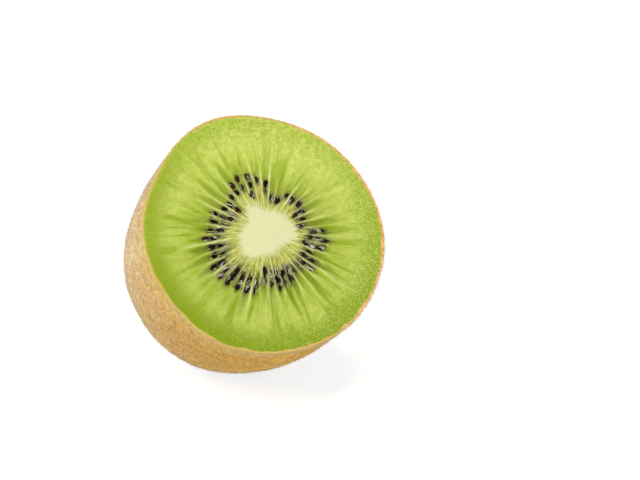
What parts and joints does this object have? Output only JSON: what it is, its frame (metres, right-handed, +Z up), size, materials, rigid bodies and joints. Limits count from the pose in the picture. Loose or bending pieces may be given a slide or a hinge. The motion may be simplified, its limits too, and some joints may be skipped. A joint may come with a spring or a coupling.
{
  "type": "kiwi fruit half",
  "caption": "Half of a kiwi fruit cut across, lying on its side with the cut face up and forward: pale core, ring of seeds, radial flesh and thin skin.",
  "frame": {"origin": "middle of the small flat spot on the underside that the half rests on", "axes": "+Z up as it lies; the cut face looks along -Y and upwards, its normal 51.2 degrees from the vertical; +X is to the right for someone who looks at the cut along +Y"},
  "size_m": [0.052, 0.0507, 0.0534],
  "materials": {
    "flesh": "moist, translucent green flesh",
    "core": "moist, pale cream-green, fine grained",
    "skin": "matt tan skin with short fuzz",
    "seeds": "wet, nearly black brown"
  },
  "bodies": {
    "root": {"flesh": "flesh", "core": "core"}
  },
  "joints": []
}
